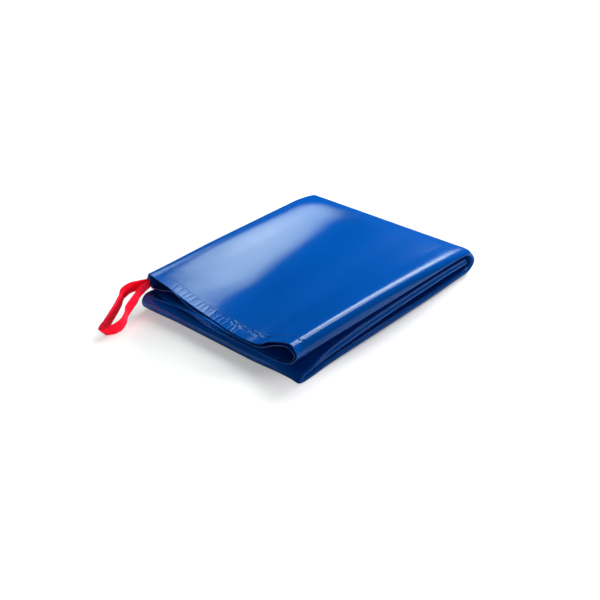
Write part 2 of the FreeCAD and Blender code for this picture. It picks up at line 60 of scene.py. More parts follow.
turn = Matrix((right, up, -forward)).transposed()
camera_data = bpy.data.cameras.new("studio_camera")
camera_data.sensor_width = 36
camera_data.lens = 69.54
CAMERA_AT = (-1.333, -1.475, 1.170)
camera = bpy.data.objects.new("studio_camera", camera_data)
camera.matrix_world = Matrix.Translation(CAMERA_AT) @ turn.to_4x4()
bpy.context.scene.collection.objects.link(camera)
bpy.context.scene.camera = camera
bpy.context.scene.view_settings.view_transform = "Standard"


# ----------------------------------------------------------------- the studio
# A matt white floor that runs out of sight. It takes the soft shadow of the pack, and a
# painted glow is added where the lens sees it, weaker near the pack and stronger away from
# it.
def new_material(name):
    """An empty node material with its output, for a shader to be built on."""
    material = bpy.data.materials.new(name)
    material.use_nodes = True
    nodes = material.node_tree.nodes
    nodes.clear()
    output = nodes.new("ShaderNodeOutputMaterial")
    return material, nodes, material.node_tree.links, output


floor_material, nodes, links, output = new_material("studio_floor")
paper = nodes.new("ShaderNodeBsdfDiffuse")
paper.inputs["Color"].default_value = (0.66, 0.665, 0.67, 1)
glow = nodes.new("ShaderNodeEmission")
glow.inputs["Color"].default_value = (1, 1, 1, 1)
# painted light: the lens-only glow grows away from the pack, so that the background is
# white and the floor near the pack stays darker; the distance is 1 on an oval round the
# pack with these half axes, in metres
OVAL_LONG = 0.33
OVAL_SHORT = 0.27
OVAL_MIDDLE_Y = 0.06
floor_place = nodes.new("ShaderNodeTexCoord")
oval = nodes.new("ShaderNodeMapping")
oval.inputs["Location"].default_value = (0, -OVAL_MIDDLE_Y / OVAL_SHORT, 0)
oval.inputs["Scale"].default_value = (1 / OVAL_LONG, 1 / OVAL_SHORT, 0)
links.new(floor_place.outputs["Object"], oval.inputs["Vector"])
distance = nodes.new("ShaderNodeVectorMath")
distance.operation = "LENGTH"
links.new(oval.outputs[0], distance.inputs[0])
painted_glow_away_from_pack = nodes.new("ShaderNodeMapRange")
painted_glow_away_from_pack.interpolation_type = "SMOOTHSTEP"
painted_glow_away_from_pack.inputs["From Min"].default_value = 1.00
painted_glow_away_from_pack.inputs["From Max"].default_value = 1.28
painted_glow_away_from_pack.inputs["To Min"].default_value = 0.345
painted_glow_away_from_pack.inputs["To Max"].default_value = 0.62
links.new(distance.outputs["Value"], painted_glow_away_from_pack.inputs["Value"])
# further out still, yet more painted glow
painted_glow_far_out = nodes.new("ShaderNodeMapRange")
painted_glow_far_out.inputs["From Min"].default_value = 2.0
painted_glow_far_out.inputs["From Max"].default_value = 9.0
painted_glow_far_out.inputs["To Max"].default_value = 0.38
links.new(distance.outputs["Value"], painted_glow_far_out.inputs["Value"])
white = nodes.new("ShaderNodeMath")
white.operation = "ADD"
links.new(painted_glow_away_from_pack.outputs["Result"], white.inputs[0])
links.new(painted_glow_far_out.outputs["Result"], white.inputs[1])
ray = nodes.new("ShaderNodeLightPath")
share = nodes.new("ShaderNodeMath")
share.operation = "MULTIPLY"
links.new(ray.outputs["Is Camera Ray"], share.inputs[0])
links.new(white.outputs[0], share.inputs[1])
links.new(share.outputs[0], glow.inputs["Strength"])
both = nodes.new("ShaderNodeAddShader")
links.new(paper.outputs[0], both.inputs[0])
links.new(glow.outputs[0], both.inputs[1])
links.new(both.outputs[0], output.inputs["Surface"])
# the floor lies just under the lowest point of the cloth
FLOOR_Z = -0.00045
bpy.ops.mesh.primitive_plane_add(size=14, location=(0, 0, FLOOR_Z))
floor = bpy.context.object
floor.name = "studio_floor"
floor.data.materials.append(floor_material)

# a nearly dark room that is white where the lens sees it
world = bpy.data.worlds.new("studio")
world.use_nodes = True
nodes = world.node_tree.nodes
links = world.node_tree.links
dark = nodes["Background"]
dark.inputs["Color"].default_value = (0.9, 0.95, 1, 1)
dark.inputs["Strength"].default_value = 0.004
backdrop = nodes.new("ShaderNodeBackground")
backdrop.inputs["Color"].default_value = (1, 1, 1, 1)
backdrop.inputs["Strength"].default_value = 1.0
ray = nodes.new("ShaderNodeLightPath")
seen = nodes.new("ShaderNodeMixShader")
links.new(ray.outputs["Is Camera Ray"], seen.inputs["Fac"])
links.new(dark.outputs[0], seen.inputs[1])
links.new(backdrop.outputs[0], seen.inputs[2])
links.new(seen.outputs[0], nodes["World Output"].inputs["Surface"])
bpy.context.scene.world = world


def soft_box(name, azimuth, elevation, distance, width, height, roll, watts, tint):
    """A flat lamp that faces the middle of the pack, rolled on its stand.

    Azimuth is counted from +X towards +Y; angles are in degrees, the rest in metres.
    """
    data = bpy.data.lights.new(name, "AREA")
    data.shape = "RECTANGLE"
    data.size = width
    data.size_y = height
    data.energy = watts
    data.color = tint
    lamp = bpy.data.objects.new(name, data)
    across = math.radians(azimuth)
    over = math.radians(elevation)
    away = Vector((math.cos(across) * math.cos(over),
                   math.sin(across) * math.cos(over),
                   math.sin(over)))
    lamp.location = away * distance
    facing = away.to_track_quat("Z", "Y").to_matrix()
    facing = facing @ Matrix.Rotation(math.radians(roll), 3, "Z")
    lamp.rotation_euler = facing.to_euler()
    bpy.context.scene.collection.objects.link(lamp)
    return lamp


# two large ones behind give the sheens: one on the cover, one along the long fold
soft_box("back_box", azimuth=37, elevation=45, distance=2.2,
         width=1.79, height=0.71, roll=42, watts=23.5, tint=(0.84, 1, 0.93))
soft_box("side_box", azimuth=0, elevation=54.5, distance=2.0,
         width=1.74, height=0.89, roll=-27, watts=31, tint=(1, 1, 1))
# a wide, weak one beside the lens opens up the sides that face it
soft_box("fill_box", azimuth=-122, elevation=30, distance=2.3,
         width=2.2, height=1.3, roll=0, watts=5.2, tint=(1, 1, 1))
# a low, smaller one behind draws the shadow out towards the open side of the pack
low_box = soft_box("low_box", azimuth=-5, elevation=30, distance=2.2,
                   width=0.75, height=0.45, roll=0, watts=22, tint=(1, 1, 1))
low_box.visible_glossy = False
# a narrow spot past the open side keeps the webbing loop as bright as it is dyed
LOOP_MIDDLE = (-0.302, 0.216, 0.030)
data = bpy.data.lights.new("loop_spot", "SPOT")
data.energy = 150
data.spot_size = math.radians(7)
data.spot_blend = 0.8
data.shadow_soft_size = 0.06
spot = bpy.data.objects.new("loop_spot", data)
spot.location = (-0.40, -1.30, 0.13)
facing = spot.location - Vector(LOOP_MIDDLE)
spot.rotation_euler = facing.to_track_quat("Z", "Y").to_euler()
spot.visible_glossy = False
bpy.context.scene.collection.objects.link(spot)

# ------------------------------------------------- the upper part of the sheet
# PVC-coated polyester, 0.7 mm thick, folded in four across and in three along.
# This part lies on top with its hemmed end open, and bends round at the back.
BACK_X = 0.2215                # middle of the back turn
TURN_RADIUS = 0.0298           # outside of it
PACK_TOP = 2 * TURN_RADIUS
PLY = 0.0007
HEM_WIDTH = 0.028
HEM_PLIES = 0.0014             # what the folded-in hem adds to the ply
HEM_MARGIN = 0.0003            # the hem's edge lies between two rows of the mesh
ROUNDED = 0.0009               # how far in from its end the hem is rounded
MOUTH_LENGTH = 0.455           # hemmed end to back turn, along the cloth
# steps of the mesh between neighbouring points of the cross-section
ACROSS = [5, 5, 8, 26, 34, 31, 34, 34, 24, 22, 17, 9, 7, 7, 7, 10, 7, 8, 8, 8,
          6, 4, 4, 6, 7, 8, 8, 6, 5, 5, 5, 6, 8, 8, 9, 8, 7, 6, 6]
# each point: y and z in mm, from the free edge round to the inner edge
MOUTH = [
    (206.0, 36.0), (220.5, 52.5), (217.5, 69.0), (197.0, 67.5), (150.0, 61.9),
    (86.0, 50.6), (30.0, 42.8), (-30.0, 41.8), (-80.0, 43.6), (-114.0, 46.2),
    (-150.0, 65.8), (-208.5, 83.2), (-218.0, 76.0), (-222.6, 64.5), (-213.8, 50.5),
    (-200.0, 40.0), (-176.0, 34.0), (-80.0, 33.0), (0.0, 33.2), (92.0, 38.4),
    (150.0, 38.0), (183.0, 34.0), (206.0, 36.0), (196.0, 39.6), (150.0, 41.6),
    (85.0, 40.6), (0.0, 37.0), (-90.0, 36.8), (-143.0, 36.8), (-195.0, 42.5),
    (-212.0, 59.0), (-198.0, 71.0), (-165.0, 62.5), (-120.0, 41.0), (-50.0, 38.4),
    (30.0, 38.6), (86.0, 42.4), (137.0, 57.2), (172.0, 49.5), (206.0, 42.0)]
# the same, half way along
MIDWAY = [
    (214.0, 41.0), (221.0, 51.5), (217.5, 62.4), (197.0, 62.9), (148.0, 55.4),
    (84.0, 49.4), (30.0, 49.1), (-30.0, 54.8), (-86.0, 58.9), (-125.0, 63.7),
    (-160.0, 70.3), (-205.5, 76.6), (-214.4, 71.0), (-219.2, 56.0), (-214.2, 49.4),
    (-200.0, 45.0), (-150.0, 38.5), (-80.0, 34.0), (0.0, 33.6), (92.0, 33.6),
    (150.0, 33.8), (183.0, 34.0), (207.0, 36.5), (196.0, 38.6), (150.0, 38.0),
    (85.0, 38.0), (0.0, 37.6), (-90.0, 40.0), (-150.0, 46.0), (-190.0, 51.0),
    (-206.0, 59.5), (-192.0, 68.0), (-160.0, 63.0), (-113.0, 55.0), (-50.0, 49.0),
    (30.0, 46.8), (90.0, 47.0), (137.0, 52.0), (175.0, 56.5), (206.0, 58.0)]
# the same, where the back turn begins; from here on the second number is the
# depth below the outside of the folded strip
BACK = [
    (219.0, 11.0), (220.0, 5.5), (217.0, 1.2), (200.0, 0.4), (142.0, 0.4),
    (83.0, 0.4), (30.0, 0.4), (-30.0, 0.4), (-88.0, 0.4), (-125.0, 0.4),
    (-165.0, 0.4), (-201.5, 0.9), (-211.0, 4.0), (-216.8, 8.6), (-214.2, 11.7),
    (-203.0, 13.4), (-150.0, 13.6), (-80.0, 13.6), (0.0, 13.6), (92.0, 13.6),
    (150.0, 13.6), (183.0, 13.6), (209.5, 11.7), (200.0, 9.8), (150.0, 9.8),
    (85.0, 9.8), (0.0, 9.8), (-90.0, 9.8), (-150.0, 9.8), (-201.0, 9.5),
    (-208.0, 7.0), (-201.0, 4.5), (-160.0, 4.2), (-113.0, 4.2), (-50.0, 4.2),
    (30.0, 4.2), (90.0, 4.2), (137.0, 4.2), (175.0, 4.2), (210.0, 4.2)]
# the same, with the plies pressed flat on each other
FLUSH = [(214.5, 0.4), (211.0, 0.4), (206.0, 0.4)] + BACK[3:11]
FLUSH += [(-205.5, 0.4), (-213.0, 1.4), (-216.6, 7.6), (-213.4, 12.8), (-204.0, 13.6)]
FLUSH += BACK[16:]
# where the hemmed end lies along x, in mm, at the same points
MOUTH_X = [
    -225.0, -225.0, -225.0, -226.0, -228.0, -231.0, -232.0, -240.0, -243.5, -242.0,
    -242.5, -244.5, -245.0, -245.5, -245.5, -246.0, -246.5, -247.5, -248.0, -242.0,
    -246.0, -245.0, -228.0, -232.0, -241.0, -241.0, -244.0, -244.0, -243.5, -243.0,
    -243.0, -243.0, -242.5, -243.0, -243.5, -240.0, -235.0, -231.0, -232.0, -229.5]


def curve_through(points, steps):
    """A smooth line through the points, with so many steps between each two."""
    points = np.array(points, float)
    if points.ndim == 1:
        points = points[:, None]
    last = len(points) - 1
    line = []
    for index in range(last):
        near = points[index]
        far = points[index + 1]
        before = points[index - 1] if index else 2 * near - far
        after = points[index + 2] if index + 2 <= last else 2 * far - near
        gap = np.linalg.norm(far - near) ** 0.5 + 1e-9
        gap_before = np.linalg.norm(near - before) ** 0.5 + 1e-9
        gap_after = np.linalg.norm(after - far) ** 0.5 + 1e-9
        leave = ((near - before) / gap_before - (far - before) / (gap_before + gap)
                 + (far - near) / gap) * gap
        arrive = ((far - near) / gap - (after - near) / (gap + gap_after)
                  + (after - far) / gap_after) * gap
        for step in range(steps[index]):
            t = step / steps[index]
            line.append((2 * t ** 3 - 3 * t ** 2 + 1) * near
                        + (t ** 3 - 2 * t ** 2 + t) * leave
                        + (3 * t ** 2 - 2 * t ** 3) * far
                        + (t ** 3 - t ** 2) * arrive)
    line.append(points[last])
    return np.array(line)


def ease(value):
    """Rises smoothly from 0 to 1 while the value does, and stays there."""
    value = np.clip(value, 0.0, 1.0)
    return value * value * (3 - 2 * value)


def waves(seed, x, y, size, count):
    """Soft irregular waves from a few sines of fixed, seeded directions."""
    random = np.random.default_rng(seed)
    total = np.zeros(np.broadcast(x, y).shape)
    for _ in range(count):
        angle = random.uniform(0, math.pi)
        length = size * random.uniform(0.7, 1.6)
        phase = random.uniform(0, 2 * math.pi)
        along = x * math.cos(angle) + y * math.sin(angle)
        total += np.sin(along * 2 * math.pi / length + phase)
    return total / count


def grid_normals(points):
    """The direction square to a grid of points, towards the sheet's face."""
    along = np.gradient(points, axis=0)
    across = np.gradient(points, axis=1)
    normal = np.cross(across, along)
    return normal / (np.linalg.norm(normal, axis=2, keepdims=True) + 1e-12)


def closed_strip(name, face, base, uv_name, u, v):
    """A closed thin piece between two like grids, with places on the cloth as UVs."""
    rows, columns = face.shape[:2]
    positions = np.concatenate([face.reshape(-1, 3), base.reshape(-1, 3)])
    index = np.arange(rows * columns).reshape(rows, columns)
    under = index + rows * columns
    quads = [
        np.stack([index[:-1, :-1], index[:-1, 1:], index[1:, 1:], index[1:, :-1]], -1),
        np.stack([under[:-1, :-1], under[1:, :-1], under[1:, 1:], under[:-1, 1:]], -1),
        np.stack([index[0, :-1], under[0, :-1], under[0, 1:], index[0, 1:]], -1),
        np.stack([index[-1, :-1], index[-1, 1:], under[-1, 1:], under[-1, :-1]], -1),
        np.stack([index[:-1, 0], index[1:, 0], under[1:, 0], under[:-1, 0]], -1),
        np.stack([index[:-1, -1], under[:-1, -1], under[1:, -1], index[1:, -1]], -1)]
    faces = np.concatenate([quad.reshape(-1, 4) for quad in quads])
    mesh = bpy.data.meshes.new(name)
    mesh.from_pydata(positions.tolist(), [], faces.tolist())
    mesh.polygons.foreach_set("use_smooth", [True] * len(faces))
    places = np.stack(np.broadcast_arrays(u, v), -1).reshape(-1, 2)
    places = np.concatenate([places, places])
    layer = mesh.uv_layers.new(name=uv_name)
    corners = np.zeros(len(mesh.loops), int)
    mesh.loops.foreach_get("vertex_index", corners)
    layer.data.foreach_set("uv", places[corners].ravel())
    piece = bpy.data.objects.new(name, mesh)
    bpy.context.scene.collection.objects.link(piece)
    return piece


def sheet_mesh(name, points, from_hem, u, v):
    """The cloth: thicker in its hem, and rounded off at the hem's very end."""
    hem = (from_hem < HEM_WIDTH + HEM_MARGIN).astype(float)
    rim = np.sqrt(np.clip(1 - (1 - np.clip(from_hem / ROUNDED, 0, 1)) ** 2, 0.05, 1))
    face_depth = (PLY / 2 * rim)[..., None]
    base_depth = ((PLY / 2 + HEM_PLIES * hem) * rim)[..., None]
    normal = grid_normals(points)
    piece = closed_strip(name, points + normal * face_depth,
                         points - normal * base_depth, "sheet_uv", u, v)
    piece.data.set_sharp_from_angle(angle=math.radians(50))
    return piece


def run_length(points, axis):
    """How far along an axis of the grid each point lies on the cloth."""
    steps = np.linalg.norm(np.diff(points, axis=axis), axis=2)
    steps = steps.mean(axis=1 - axis)
    return np.concatenate([[0], np.cumsum(steps)])


mouth = curve_through(MOUTH, ACROSS) / 1000
midway = curve_through(MIDWAY, ACROSS) / 1000
back_depth = curve_through(BACK, ACROSS) / 1000
flush_depth = curve_through(FLUSH, ACROSS) / 1000
mouth_x = curve_through(MOUTH_X, ACROSS)[:, 0] / 1000
back = np.stack([back_depth[:, 0], PACK_TOP - back_depth[:, 1]], 1)

# distance of each row of the mesh from the hemmed end, in mm
FROM_END = [0, 0.25, 0.6, 1.1, 2, 3.5, 5.5, 7.5, 9.5, 11.5, 13.5, 15.5, 17.5, 19.5,
            21.5, 23.3, 25, 26.3, 27.4, 28, 28.6, 29.6, 31, 33, 36, 39, 43, 47, 52,
            57, 63, 70, 78, 87, 97, 108, 120]
FROM_END += [120 + 12 * step for step in range(1, 28)]
from_end = np.array(FROM_END) / 1000
from_end = np.append(from_end, MOUTH_LENGTH)
# along the length, each point runs on a parabola through the three sections
rows = []
for distance in from_end:
    share = distance / MOUTH_LENGTH
    profile = (mouth * (share - 0.5) * (share - 1) * 2
               - midway * share * (share - 1) * 4
               + back * share * (share - 0.5) * 2)
    x = mouth_x + (BACK_X - mouth_x) * share
    rows.append(np.stack([x, profile[:, 0], profile[:, 1]], 1))
# round the turn the long fold leans in towards the outer ply
LEANING = FLUSH[:11] + [(-205.0, 0.6), (-210.8, 2.4), (-216.4, 10.2), (-213.4, 13.0),
                        (-204.0, 13.6)] + FLUSH[16:]
leaning_depth = curve_through(LEANING, ACROSS) / 1000
TURN_STEPS = 22
PRESSED_BY = 7                 # the step at which the plies lie flat
for step in range(1, TURN_STEPS + 1):
    angle = math.pi * step / TURN_STEPS
    share = ease(step / PRESSED_BY)
    profile = back_depth + (flush_depth - back_depth) * share
    in_turn = ease(math.sin(angle) * 1.6)
    upper_half = 1 - ease((angle - 1.1) / 0.9)
    profile = profile + (leaning_depth - flush_depth) * in_turn * upper_half
    radius = TURN_RADIUS - profile[:, 1]
    rows.append(np.stack([BACK_X + radius * math.sin(angle),
                          profile[:, 0],
                          TURN_RADIUS + radius * math.cos(angle)], 1))
# and it ends on the ground, a little before the turn, where the lower part begins
OVERRUN = 0.010                # how far past the turn the two parts meet
for offset in (OVERRUN / 2, OVERRUN):
    rows.append(np.stack([np.full(len(mouth), BACK_X - offset),
                          flush_depth[:, 0], flush_depth[:, 1]], 1))
upper = np.array(rows)

TURN_RAISED = 0.0030
TURN_FULLER = 0.0060


def lift_off(points):
    """The turn is a little fuller at its fold side, and lifts off the ground."""
    x = points[..., 0]
    y = points[..., 1]
    z = points[..., 2]
    raised = ease((x - 0.10) / 0.12) * ease((0.045 - z) / 0.045) * TURN_RAISED
    fuller = ease((x - 0.220) / 0.014) * np.exp(-((z - 0.023) / 0.020) ** 2)
    fuller = fuller * ease((-0.02 - y) / 0.15) * TURN_FULLER
    return points + np.stack([fuller, 0 * y, raised], -1)


# the rows where the top runs into the turn are smoothed into each other
turn_row = len(from_end) - 1
SMOOTHINGS = 12
for _ in range(SMOOTHINGS):
    middle = upper[turn_row - 3:turn_row + 4].copy()
    upper[turn_row - 2:turn_row + 3] = (middle[:-2] + 2 * middle[1:-1] + middle[2:]) / 4

upper = lift_off(upper)
# place on the cloth: along it from the hemmed end, and across from its free edge
u = run_length(upper, 0)[:, None]
v = run_length(upper, 1)[None, :]
# columns of the mesh at which the covering, the under and the inner ply end
top_steps = sum(ACROSS[:11])
under_steps = sum(ACROSS[:22])
inner_steps = sum(ACROSS[:30])
column = np.arange(upper.shape[1])[None, :]
NOT_NEAR = 1.0                 # stands for any distance outside the hem
row_end = np.append(from_end, np.full(len(upper) - len(from_end), NOT_NEAR))[:, None]
normal = grid_normals(upper)
# broad soft waves in the covering ply
on_top = ease((top_steps - column) / 20.0)
before_turn = ease((0.475 - u) / 0.06)
flat_part = ease(u / 0.06) * before_turn
swell = waves(3, u, v, 0.16, 4) * 0.0003 * on_top * flat_part
# the plies sag most along a line that runs from y 31 mm to y 103 mm at the back
SAG_DEEP = 0.0089
SAG_WIDE = 0.0754
sag_line = 0.0306 + 0.0721 * u / MOUTH_LENGTH
sag = np.exp(-((upper[..., 1] - sag_line) / SAG_WIDE) ** 2) * SAG_DEEP
sag = sag * ease(u / 0.15) * before_turn
in_between = ((column >= under_steps) & (column < inner_steps)).astype(float)
nearest = ease((column - inner_steps) / 6.0)
sag = sag * np.maximum(np.maximum(on_top, nearest), 0.30 * in_between)
# along the free edge the covering ply stands higher on the hems under it
CROWN_HIGH = 0.0045
SHOULDER_HIGH = 0.0011
crown = np.exp(-((upper[..., 1] - 0.205) / 0.05) ** 2) * CROWN_HIGH * on_top
crown = crown * ease(u / 0.20) * before_turn
# and a slight swell beside it near the back
shoulder = np.exp(-((u - 0.35) / 0.08) ** 2) * before_turn * on_top
shoulder = shoulder * np.exp(-((upper[..., 1] - 0.12) / 0.05) ** 2) * SHOULDER_HIGH
upper[..., 2] += crown + shoulder
# puckers that the thread draws across the hem: flat pads with grooves between
# them in the middle of the hem, and a finer crinkle towards the ridge
GROOVES = 20
GROOVE_WIDE = 0.0013
GROOVE_DEEP = 0.00055
CRINKLE_DEEP = 0.0013
random = np.random.default_rng(11)
groove_at = np.cumsum(random.uniform(0.010, 0.019, GROOVES)) + 0.085
groove_deep = random.uniform(0.5, 1.0, GROOVES)
groove_lean = random.uniform(-0.25, 0.05, GROOVES)
grooves = np.zeros(upper.shape[:2])
for place, strength, tilt in zip(groove_at, groove_deep, groove_lean):
    away = (v - place - (row_end - 0.012) * tilt) / GROOVE_WIDE
    fade = ease((place - 0.08) / 0.03) * ease((0.32 - place) / 0.04)
    grooves += np.exp(-away ** 2) * strength * fade
in_hem = ease((row_end + 0.002) / 0.006) * ease((0.029 - row_end) / 0.010)
pull = -grooves * in_hem * GROOVE_DEEP
crinkle = waves(21, row_end, v, 0.0075, 6)
near_seam = np.exp(-((row_end - 0.022) / 0.0075) ** 2)
by_ridge = ease((v - 0.22) / 0.05)
short_of_fold = ease((0.485 - v) / 0.03)
pull = pull + crinkle * near_seam * by_ridge * short_of_fold * CRINKLE_DEEP
upper[..., 2] -= sag
upper = upper + normal * (swell + pull)[..., None]

upper_sheet = sheet_mesh("upper_sheet", upper, row_end, u, v)
upper_normal = grid_normals(upper)


def woven(nodes, links, uv_name, pitches):
    """A plain weave's heights, as the product of one sine each way of the cloth."""
    where = nodes.new("ShaderNodeUVMap")
    where.uv_map = uv_name
    apart = nodes.new("ShaderNodeSeparateXYZ")
    links.new(where.outputs["UV"], apart.inputs[0])
    weave = nodes.new("ShaderNodeMath")
    weave.operation = "MULTIPLY"
    for number, axis in enumerate("XY"):
        scale = nodes.new("ShaderNodeMath")
        scale.operation = "MULTIPLY"
        scale.inputs[1].default_value = 2 * math.pi / pitches[number]
        links.new(apart.outputs[axis], scale.inputs[0])
        sine = nodes.new("ShaderNodeMath")
        sine.operation = "SINE"
        links.new(scale.outputs[0], sine.inputs[0])
        links.new(sine.outputs[0], weave.inputs[number])
    return where, weave


# The coating is glossy blue PVC: a fine weave shows through it, and it is
# slightly duller where it has been handled.
def coated_material(name, deep, light):
    """Blue coating between two close tints, with weave, grain and faint creases."""
    material, nodes, links, output = new_material(name)
    shader = nodes.new("ShaderNodeBsdfPrincipled")
    shader.inputs["IOR"].default_value = 1.5
    shader.inputs["Specular IOR Level"].default_value = 0.38
    shader.inputs["Specular Tint"].default_value = (0.88, 1, 0.93, 1)
    where, weave = woven(nodes, links, "sheet_uv", (0.00095, 0.00105))
    grain = nodes.new("ShaderNodeTexNoise")
    grain.inputs["Scale"].default_value = 420
    grain.inputs["Detail"].default_value = 3
    links.new(where.outputs["UV"], grain.inputs["Vector"])
    creases = nodes.new("ShaderNodeTexNoise")
    creases.inputs["Scale"].default_value = 38
    creases.inputs["Detail"].default_value = 5
    creases.inputs["Roughness"].default_value = 0.55
    links.new(where.outputs["UV"], creases.inputs["Vector"])
    clouds = nodes.new("ShaderNodeTexNoise")
    clouds.inputs["Scale"].default_value = 7
    clouds.inputs["Detail"].default_value = 4
    links.new(where.outputs["UV"], clouds.inputs["Vector"])
    tint = nodes.new("ShaderNodeMix")
    tint.data_type = "RGBA"
    tint.inputs["A"].default_value = (*deep, 1)
    tint.inputs["B"].default_value = (*light, 1)
    links.new(clouds.outputs["Fac"], tint.inputs["Factor"])
    links.new(tint.outputs["Result"], shader.inputs["Base Color"])
    dull = nodes.new("ShaderNodeMapRange")
    dull.inputs["From Min"].default_value = 0.3
    dull.inputs["From Max"].default_value = 0.7
    dull.inputs["To Min"].default_value = 0.13
    dull.inputs["To Max"].default_value = 0.16
    links.new(creases.outputs["Fac"], dull.inputs["Value"])
    links.new(dull.outputs[0], shader.inputs["Roughness"])
    weave_bump = nodes.new("ShaderNodeBump")
    weave_bump.inputs["Distance"].default_value = 0.00002
    weave_bump.inputs["Strength"].default_value = 0.5
    links.new(weave.outputs[0], weave_bump.inputs["Height"])
    grain_bump = nodes.new("ShaderNodeBump")
    grain_bump.inputs["Distance"].default_value = 0.00008
    grain_bump.inputs["Strength"].default_value = 0.5
    links.new(grain.outputs["Fac"], grain_bump.inputs["Height"])
    links.new(weave_bump.outputs[0], grain_bump.inputs["Normal"])
    crease_bump = nodes.new("ShaderNodeBump")
    crease_bump.inputs["Distance"].default_value = 0.00015
    crease_bump.inputs["Strength"].default_value = 0.5
    links.new(creases.outputs["Fac"], crease_bump.inputs["Height"])
    links.new(grain_bump.outputs[0], crease_bump.inputs["Normal"])
    links.new(crease_bump.outputs[0], shader.inputs["Normal"])
    links.new(shader.outputs[0], output.inputs["Surface"])
    return material


blue_coating = coated_material(
    "blue_coating", (0.0002, 0.082, 0.42), (0.0005, 0.099, 0.49))
upper_sheet.data.materials.append(blue_coating)
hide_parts("top_cover_ply", "top_side_fold", "top_under_ply",
            "top_inner_wrap", "top_outer_end_hem", "top_inner_end_hem",
            "top_outer_margin_hem", "back_turn_outer_wrap", "back_turn_inner_wrap")
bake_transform(upper_sheet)

# ------------------------------------------------- the lower part of the sheet
# The same sheet goes on along the ground, turns up at the open side of the
# pack and runs back between the other two lengths, with its own hemmed end.
NOSE_TIP = -0.250              # the open side's tip, in x
NOSE_START = -0.234            # where the nose begins to curve, in x
NOSE_FRONT = 0.0290            # height of the nose at its front end
TONGUE_END = 0.232             # hemmed end of the middle length, in x
STRIP_WIDTH = 0.43
STRIP_HEIGHT = 0.014
# top and underside of the middle length along x: first its middle, then its fold
LENGTH_X = [NOSE_START, -0.160, -0.080, 0.030, 0.145, 0.207, 0.240]
MIDDLE_TOP = [0.0290, 0.0300, 0.0315, 0.0330, 0.0365, 0.0365, 0.0365]
MIDDLE_UNDER = [0.0150, 0.0158, 0.0175, 0.0195, 0.0225, 0.0235, 0.0235]
FOLD_TOP = [0.0290, 0.0348, 0.0408, 0.0428, 0.0433, 0.0415, 0.0400]
FOLD_UNDER = [0.0150, 0.0172, 0.0210, 0.0245, 0.0265, 0.0265, 0.0260]
LOWER_ACROSS = [2, 2, 3, 5, 5, 5, 5, 5, 3, 4, 6, 5, 5, 5, 5, 6, 5, 6, 6, 6,
                5, 3, 3, 5, 5, 5, 6, 5, 5, 4, 4, 5, 4, 5, 5, 5, 4, 4, 4]
depth = curve_through(FLUSH, LOWER_ACROSS) / 1000
# round the nose the long fold is flattened, which leaves a sharp corner
CORNER = FLUSH[:11] + [(-206.0, 0.4), (-213.8, 0.6), (-216.6, 2.6), (-214.6, 12.4),
                       (-204.0, 13.6)] + FLUSH[16:]
sharp_depth = curve_through(CORNER, LOWER_ACROSS) / 1000
# the length between the others shows two plies, one proud of the other
STEPPED = FLUSH[:11] + [(-208.0, 0.4), (-214.6, 1.4), (-213.9, 3.8), (-216.8, 10.4),
                        (-206.0, 13.6)] + FLUSH[16:]
stepped_depth = curve_through(STEPPED, LOWER_ACROSS) / 1000
width_place = depth[:, 0]
nose_height = NOSE_FRONT + 0.0027 * (width_place + STRIP_WIDTH / 2) / STRIP_WIDTH
nose_height += 0.0020 * ease((width_place - 0.18) / 0.035)
nose_tip = NOSE_TIP - 0.004 * ease((width_place - 0.10) / 0.115)
nose_tip += 0.007 * ease((-0.090 - width_place) / 0.12)
# along the ground, from under the back turn to the nose
GROUND_STEPS = 36
rows = []
for step in range(GROUND_STEPS):
    x = BACK_X - OVERRUN - step * (BACK_X - OVERRUN - NOSE_START) / GROUND_STEPS
    layer = depth + (sharp_depth - depth) * ease((-0.150 - x) / 0.07)
    rows.append(np.stack([np.full(len(layer), x), layer[:, 0], layer[:, 1]], 1))
# round the nose
NOSE_STEPS = 20
for step in range(NOSE_STEPS + 1):
    angle = math.pi * step / NOSE_STEPS
    centre = nose_tip + nose_height / 2
    radius = nose_height / 2 - sharp_depth[:, 1]
    rows.append(np.stack([centre - radius * math.sin(angle),
                          sharp_depth[:, 0],
                          nose_height / 2 - radius * math.cos(angle)], 1))
# and back between the other lengths; distance of each row from its end, in mm
FROM_TONGUE = [0, 0.25, 0.6, 1.1, 2, 4, 7, 10, 13, 16, 19, 22, 25, 27, 28, 28.6, 30,
               34, 40, 48, 58]
FROM_TONGUE += [58 + 12.2 * step for step in range(1, 34)]
from_tongue = np.array(FROM_TONGUE) / 1000
beside = ease((-0.140 - width_place) / 0.055)
for distance in from_tongue[::-1]:
    x = TONGUE_END - distance
    top = np.interp(x, LENGTH_X, MIDDLE_TOP) * (1 - beside)
    top += np.interp(x, LENGTH_X, FOLD_TOP) * beside
    under = np.interp(x, LENGTH_X, MIDDLE_UNDER) * (1 - beside)
    under += np.interp(x, LENGTH_X, FOLD_UNDER) * beside
    start = ease((x - NOSE_START) / 0.10)
    top = nose_height * (1 - start) + top * start
    under = (nose_height - STRIP_HEIGHT) * (1 - start) + under * start
    # the folded corner of the hemmed end is a little rounded
    corner = 0.006 * ease((-0.190 - width_place) / 0.025)
    corner = corner * ease((0.020 - distance) / 0.020)
    layer = stepped_depth + (sharp_depth - stepped_depth) * ease((-0.150 - x) / 0.07)
    rows.append(np.stack([x - corner, layer[:, 0],
                          top - layer[:, 1] * (top - under) / STRIP_HEIGHT], 1))
lower = np.array(rows)
lower[:GROUND_STEPS] = lift_off(lower[:GROUND_STEPS])
before_tongue = np.full(GROUND_STEPS + NOSE_STEPS + 1, NOT_NEAR)
lower_end = np.concatenate([before_tongue, from_tongue[::-1]])[:, None]
